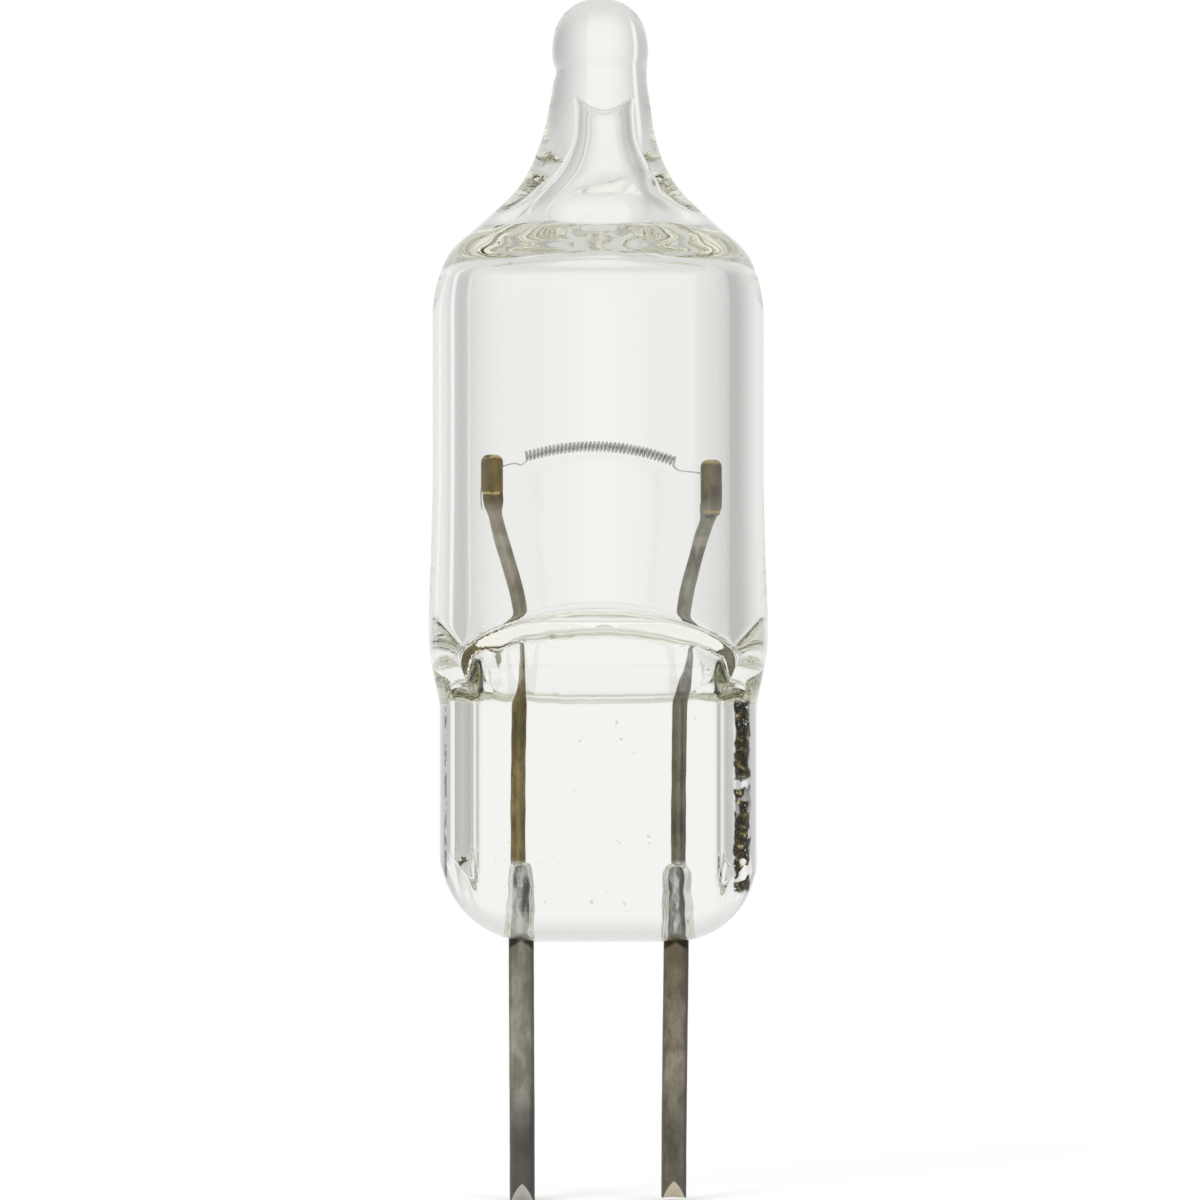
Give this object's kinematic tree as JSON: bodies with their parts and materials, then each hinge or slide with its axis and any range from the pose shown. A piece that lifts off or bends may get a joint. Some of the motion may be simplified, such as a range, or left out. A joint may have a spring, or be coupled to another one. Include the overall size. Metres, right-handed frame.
{
  "type": "two-pin halogen capsule bulb",
  "caption": "Clear capsule bulb for an auxiliary driving light: glass envelope with exhaust tip and pinched press seal, arched coil filament on folded leads, straight plug-in pins.",
  "frame": {"origin": "midway between the pins, in the plane where they leave the glass", "axes": "+Z along the bulb's axis towards the exhaust tip, +X towards the right pin, -Y out of the front face of the press"},
  "size_m": [0.0088, 0.0088, 0.031],
  "materials": {
    "clear_glass": "clear hard glass, fire polished, with pressed rails",
    "tungsten": "dark drawn wire",
    "lead_metal": "heat tinted molybdenum, satin",
    "pin_metal": "dull drawn wire, darker towards the cut ends"
  },
  "bodies": {
    "root": {"glass_envelope": "clear_glass", "filament": "tungsten", "left_lead": "lead_metal", "right_lead": "lead_metal", "left_pin": "pin_metal", "right_pin": "pin_metal"}
  },
  "joints": []
}
